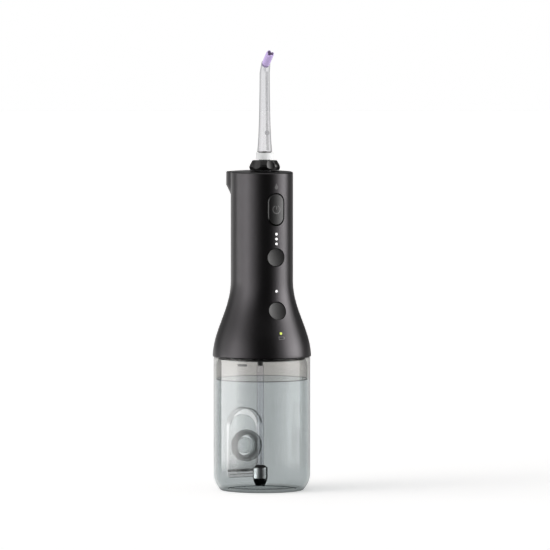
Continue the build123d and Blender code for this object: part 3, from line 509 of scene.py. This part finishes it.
def make_floor():
    """Plain white table, large enough to reach the horizon of every view."""
    made, n = new_material("floor")
    lean = n.add("ShaderNodeCombineXYZ", dict(enumerate(FLOOR_LEAN))).outputs[0]
    white = n.add("ShaderNodeBsdfPrincipled", {
        "Base Color": FLOOR_WHITE, "Roughness": 0.9, "Specular IOR Level": 0.0, "Normal": lean,
        "Emission Color": colour(1, 1, 1), "Emission Strength": FLOOR_GLOW,
    })
    dim = n.add("ShaderNodeBsdfDiffuse", {"Color": colour(0.12, 0.12, 0.12)})
    gone = n.add("ShaderNodeBsdfTransparent")
    paths = n.add("ShaderNodeLightPath")
    bounced = n.add("ShaderNodeMixShader", {
        0: paths.outputs["Is Glossy Ray"], 1: dim.outputs[0], 2: gone.outputs[0],
    })
    above = n.add("ShaderNodeMixShader", {
        0: paths.outputs["Is Camera Ray"], 1: bounced.outputs[0], 2: white.outputs[0],
    })
    below = n.add("ShaderNodeNewGeometry").outputs["Backfacing"]
    mixed = n.add("ShaderNodeMixShader", {0: below, 1: above.outputs[0], 2: gone.outputs[0]})
    output(n, mixed.outputs[0])

    def disc(shape):
        bmesh.ops.create_circle(shape, cap_ends=True, radius=12.0, segments=96)

    floor = new_piece("floor", disc, made, smooth=False)
    floor.location = (0, 0, TANK_LOW[2] - 0.00005)


# ---- pieces of the object ------------------------------------------------------------------------
def cut_away(piece, cutter):
    """Takes the cutter's shape out of the piece and removes the cutter."""
    change = piece.modifiers.new("cut", "BOOLEAN")
    change.operation = "DIFFERENCE"
    change.solver = "EXACT"
    change.object = cutter
    solved = piece.evaluated_get(bpy.context.evaluated_depsgraph_get())
    left = bpy.data.meshes.new_from_object(solved)
    piece.modifiers.clear()
    piece.data = left
    bpy.data.objects.remove(cutter)


def prism(shape, outline, y_low, y_high):
    """Outline in X and Z carried from one Y to another."""
    near = [shape.verts.new((x, y_low, z)) for x, z in outline]
    far = [shape.verts.new((x, y_high, z)) for x, z in outline]
    shape.faces.new(near)
    shape.faces.new(list(reversed(far)))
    for k, corner in enumerate(near):
        shape.faces.new((corner, near[k - 1], far[k - 1], far[k]))


def circle_points(radius, x, z, last=360.0):
    """Points about (x, z), anticlockwise from its right, up to the last bearing."""
    spread = [math.radians(last * k / CIRCLE_STEPS) for k in range(CIRCLE_STEPS)]
    return [(x + radius * math.cos(a), z + radius * math.sin(a)) for a in spread]


def make_water(made):
    """Water standing in the tank, hollowed at the door pocket."""
    gap = 0.08 * MM
    bore = TANK_R - TANK_WALL - gap
    floor = TANK_FLOOR + gap
    flat = WATER_FOOT_R - gap
    corner = [
        (flat + (bore - flat) * math.sin(a), floor + WATER_CORNER * (1 - math.cos(a)))
        for a in [math.radians(15 * k) for k in range(7)]
    ]
    outline = [(0.0, floor)] + corner + [
        (bore, WATER_LEVEL + 0.35 * MM), (bore - 0.35 * MM, WATER_LEVEL + 0.06 * MM),
        (bore - 1.1 * MM, WATER_LEVEL), (0.0, WATER_LEVEL),
    ]
    piece = new_piece("water", lambda shape: lathe(shape, outline, WATER_STEPS), made)
    width, foot, head = POCKET_HALF + gap, POCKET_LOW - gap, POCKET_HIGH + gap
    arch = [(-width, foot), (width, foot)] + circle_points(width, 0.0, head - width, 180.0)
    arch.append((-width, head - width))
    cutter = new_piece("pocket", lambda shape: prism(shape, arch, POCKET_FRONT - gap, 40 * MM), made)
    cut_away(piece, cutter)
    boss = circle_points(BOSS_R + gap, 0.0, FILL_HEIGHT)
    cutter = new_piece("boss", lambda shape: prism(shape, boss, BOSS_FRONT - gap, 30 * MM), made)
    cut_away(piece, cutter)
    for face in piece.data.polygons:
        face.use_smooth = abs(face.normal.z) < 0.9 and abs(face.normal.y) < 0.999
    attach(piece, "tank")
    return piece


def water_clear():
    """Water: bright, faintly cool; its sides nearly vanish against the wall, its top shines."""
    made, n = new_material("water")
    normal = n.add("ShaderNodeNewGeometry").outputs["Normal"]
    up = n.math("ABSOLUTE", n.add("ShaderNodeSeparateXYZ", {0: normal}).outputs["Z"])
    place = n.xyz()
    z = place["Z"]
    top = n.both(n.ramp(up, 0.5, 0.95), n.ramp(z, WATER_LEVEL - 1.0 * MM, WATER_LEVEL - 0.5 * MM))
    # Painted shade: a dark line along the water's edge, heaviest towards the front left
    rim_painted_shade = n.both(n.ramp(n.distance(place["X"], place["Y"], 0.0, 0.0), 30.9 * MM, 31.2 * MM),
                 n.ramp(z, WATER_LEVEL - 0.35 * MM, WATER_LEVEL - 0.15 * MM),
                 n.ramp(n.along(TO_FRONT_LEFT), -6 * MM, 6 * MM, 0.35, 1.0))
    cloud = n.ramp(n.noise(40.0, 2.0), 0.3, 0.7)
    side = n.blend(cloud, colour(0.985, 0.99, 0.99), colour(0.975, 0.985, 0.985))
    tint = n.blend(top, side, colour(0.99, 1.0, 1.0))
    tint = n.blend(n.math("MULTIPLY", rim_painted_shade, 0.85), tint, colour(0.2, 0.21, 0.22))
    see_through(n, tint, n.ramp(top, 0.0, 1.0, 0.02, 0.2), 0.02, 0.00002)
    return made


def make_hose(made):
    """Clear suction hose hanging from its spigot, held straight by the weight."""
    data = bpy.data.curves.new("hose", "CURVE")
    data.dimensions = "3D"
    line = data.splines.new("NURBS")
    heights = (HOSE_TOP, 64 * MM, 41 * MM, HOSE_END)
    line.points.add(len(heights) - 1)
    for point, height in zip(line.points, heights):
        point.co = (0.0, HOSE_Y, height, 1.0)
    line.order_u = 3
    line.use_endpoint_u = True
    data.bevel_depth = HOSE_R
    data.bevel_resolution = 12
    data.resolution_u = 16
    data.use_fill_caps = True
    hose = bpy.data.objects.new("hose", data)
    bpy.context.collection.objects.link(hose)
    data.materials.append(made)
    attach(hose, "handle")
    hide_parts("suction_hose")
    return hose


def tip_soft():
    """Soft lavender rubber with a painted glow in place of light through its thin wall, and painted shade
    inside its cup.
    """
    made, n = new_material("lavender")
    place = n.xyz()
    axis = Vector((0, -math.sin(TIP_TILT), math.cos(TIP_TILT)))
    side = axis.cross(Vector((1, 0, 0)))
    root = Vector((0, NOZZLE_AXIS.y - TIP_AHEAD, TIP_BEND))
    from_axis = n.distance(place["X"], n.along(side), 0.0, root.dot(side))
    height = n.math("SUBTRACT", n.along(axis), root.dot(axis))
    cup_painted_shade = n.both(n.ramp(from_axis, 2.3 * MM, 2.1 * MM), n.ramp(height, 7.4 * MM, 7.6 * MM))
    cloud = n.ramp(n.noise(55.0, 4.0), 0.3, 0.7)
    skin = n.blend(cloud, colour(0.36, 0.27, 0.52), colour(0.39, 0.30, 0.55))
    # Painted glow on the lavender skin, weaker in the cup; painted shade darkens the inside of the cup
    shader = n.add("ShaderNodeBsdfPrincipled", {
        "Base Color": n.blend(cup_painted_shade, skin, colour(0.10, 0.07, 0.13)), "Roughness": 0.5,
        "Emission Color": colour(0.70, 0.56, 0.90), "Emission Strength": n.ramp(cup_painted_shade, 0.0, 1.0, 0.5, 0.1),
    })
    output(n, shader.outputs[0])
    return made


def make_tip(made):
    """Soft tip: a tilted tube with a cupped, four-lobed end."""
    across = Vector((1, 0, 0))
    axis = Vector((0, -math.sin(TIP_TILT), math.cos(TIP_TILT)))
    side = axis.cross(across)
    root = Vector((0, NOZZLE_AXIS.y - TIP_AHEAD, TIP_BEND))
    profile = [
        (1.0, -1.1, 0.0), (2.4, -1.1, 0.0), (2.4, 0.62, 0.0), (2.72, 0.66, 0.0), (2.75, 0.9, 0.0),
        (2.75, 5.0, 0.0), (2.75, 9.4, 0.3), (2.72, 10.7, 0.9), (2.5, 11.1, 1.0), (2.25, 11.15, 1.0),
        (2.02, 10.85, 1.0), (1.9, 10.0, 0.7), (1.75, 7.75, 0.0), (1.4, 7.7, 0.0), (1.0, 7.5, 0.0),
    ]

    def build(shape):
        rings = []
        for radius, height, share in profile:
            ring = []
            for k in range(TIP_STEPS):
                turn = 2 * math.pi * k / TIP_STEPS
                dip = share * LOBE_DEPTH * (0.5 - 0.5 * math.cos(4 * turn)) ** 2
                point = root + axis * (height * MM - dip)
                point += (across * math.cos(turn) + side * math.sin(turn)) * radius * MM
                ring.append(shape.verts.new(point))
            rings.append(ring)
        for low, high in zip(rings, rings[1:] + rings[:1]):
            for k in range(TIP_STEPS):
                after = (k + 1) % TIP_STEPS
                shape.faces.new((low[k], low[after], high[after], high[k]))

    tip = new_piece("tip", build, made)
    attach(tip, "nozzle")
    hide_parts("soft_tip")
    return tip


# ---- signs printed on the pieces -------------------------------------------------------------------
def power_sign(n):
    """Plain standby sign: an open ring with a bar in its gap."""
    x, _, z = n.xyz()
    away = n.distance(x, z, 0.0, POWER_Z)
    ring = n.within(away, 2.75 * MM, 0.33 * MM)
    rise = n.math("SUBTRACT", z, POWER_Z)
    spread = n.math("ABSOLUTE", x)
    open_top = n.ramp(n.math("SUBTRACT", n.math("MULTIPLY", rise, 0.45), spread), 0.05 * MM, 0.0)
    bar = n.both(n.within(x, 0.0, 0.33 * MM), n.within(z, POWER_Z + 1.3 * MM, 1.2 * MM))
    return n.both(n.either(n.both(ring, open_top), bar), 0.75)


def handle_signs(n):
    """Battery outline over the charge light and a small drop near the top."""
    x, y, z = n.xyz()
    front = n.ramp(y, -15 * MM, -16 * MM)
    outside = n.both(n.within(x, 0.0, 2.1 * MM), n.within(z, BATTERY_SIGN_Z, 0.95 * MM))
    inside = n.both(n.within(x, 0.0, 1.75 * MM), n.within(z, BATTERY_SIGN_Z, 0.6 * MM))
    case = n.both(outside, n.math("SUBTRACT", 1.0, inside))
    knob = n.both(n.within(x, 2.35 * MM, 0.25 * MM), n.within(z, BATTERY_SIGN_Z, 0.4 * MM))
    round_part = n.ramp(n.distance(x, z, 0.0, DROP_Z), 1.35 * MM, 1.28 * MM)
    reach = n.math("MULTIPLY", n.math("SUBTRACT", DROP_Z + 3.0 * MM, z), 0.44)
    point = n.both(n.ramp(n.math("SUBTRACT", reach, n.math("ABSOLUTE", x)), 0.0, 0.06 * MM),
                   n.ramp(z, DROP_Z + 0.5 * MM, DROP_Z + 0.56 * MM))
    return n.both(front, n.either(case, knob, n.both(n.either(round_part, point), 0.8)), 0.8)


def dress_cad_nodes():
    charcoal = moulded(
        "charcoal_satin", colour(0.0034, 0.0033, 0.0034), colour(0.0042, 0.0041, 0.0042), 0.30, 0.015,
        printed=handle_signs, ink=colour(0.2, 0.2, 0.2), Specular_Tint=colour(1.0, 0.95, 1.0),
    )
    button_look = colour(0.0045, 0.0044, 0.0045), colour(0.0055, 0.0054, 0.0055), 0.33, 0.02
    buttons = moulded("button_satin", *button_look)
    power_look = moulded("power_satin", *button_look, printed=power_sign, ink=colour(0.16, 0.16, 0.16))
    black = moulded("black_gloss", colour(0.004, 0.004, 0.004), colour(0.006, 0.006, 0.006), 0.2, 0.03,
                    grain=0.000001)
    seal = moulded("seal_rubber", colour(0.01, 0.01, 0.01), colour(0.016, 0.016, 0.016), 0.6)
    milky = moulded("milky_rubber", colour(0.6, 0.6, 0.58), colour(0.68, 0.68, 0.66), 0.45)
    # Painted glow: the frosted collar gives off light so it reads brighter
    frosted_painted_glow = moulded("frosted", colour(0.78, 0.80, 0.80), colour(0.82, 0.83, 0.84), 0.5, grain=0.000001,
                    Emission_Color=colour(1, 1, 1), Emission_Strength=0.2)
    tank = tank_clear()
    door = clear("clear_door", colour(0.86, 0.875, 0.875), colour(0.45, 0.46, 0.46), 2.5, gain=0.5)
    nozzle = nozzle_clear()
    steel = metal("turned_steel", colour(0.62, 0.61, 0.6), 0.25)
    chrome = metal("polished_steel", colour(0.46, 0.46, 0.46), 0.05)
    brass = metal("brass", colour(0.75, 0.55, 0.27), 0.25)
    grey = moulded("frame_grey", colour(0.12, 0.12, 0.125), colour(0.15, 0.15, 0.155), 0.5)
    acetal = moulded("acetal", colour(0.75, 0.74, 0.69), colour(0.8, 0.79, 0.75), 0.4)
    white = moulded("pump_white", colour(0.6, 0.61, 0.61), colour(0.68, 0.68, 0.68), 0.4)
    board = moulded("solder_mask", colour(0.01, 0.09, 0.03), colour(0.015, 0.12, 0.045), 0.3)
    sleeve = moulded("cell_sleeve", colour(0.03, 0.12, 0.35), colour(0.04, 0.15, 0.4), 0.3)
    wire = moulded("wire_skin", colour(0.35, 0.02, 0.02), colour(0.42, 0.03, 0.03), 0.4)
    white_light = lit("white_light", colour(0.4, 0.4, 0.4), colour(1, 1, 1), 0.8, WHITE_LIGHTS_Z)
    green_light = lit("green_light", colour(0.3, 0.36, 0.06), colour(0.62, 0.74, 0.12), 0.85,
                      [BATTERY_LIGHT_Z])

    by_slot = {
        "clear_plastic": tank, "charcoal_plastic": charcoal, "button_plastic": buttons,
        "black_plastic": black, "frosted_plastic": frosted_painted_glow, "clear_hose": door,
        "nozzle_clear": nozzle, "tip_rubber": milky, "seal_rubber": seal,
        "translucent_rubber": milky, "polished_steel": chrome, "steel": steel,
        "light_lens": white_light, "battery_lens": green_light, "frame_plastic": grey,
        "board": board, "chip": seal, "led": milky, "cell_wrap": sleeve, "nickel": steel,
        "wire_skin": wire, "gear_plastic": acetal, "brass": brass, "pump_plastic": white,
    }
    for entry in frame["record"]["subparts"]:
        assign(entry["node"], by_slot[entry["material_slot"]])
    assign("power_button", power_look)
    assign("seat_clip", metal("blackened_steel", colour(0.02, 0.02, 0.022), 0.45))
    assign("fill_door", door)
    assign("fill_seal", clear("clear_seal", colour(0.72, 0.73, 0.73), colour(0.3, 0.31, 0.31), 1.5, gain=0.3))


# ---- build -------------------------------------------------------------------------------------------
scene = bpy.context.scene
scene.view_settings.view_transform = "Standard"
scene.view_settings.look = "None"
scene.cycles.transparent_max_bounces = 40

make_camera()
make_studio()
make_floor()
dress_cad_nodes()
make_water(water_clear())
make_hose(clear("clear_hose", colour(0.955, 0.95, 0.97), colour(0.15, 0.15, 0.16), 2.7, gain=0.8))
make_tip(tip_soft())
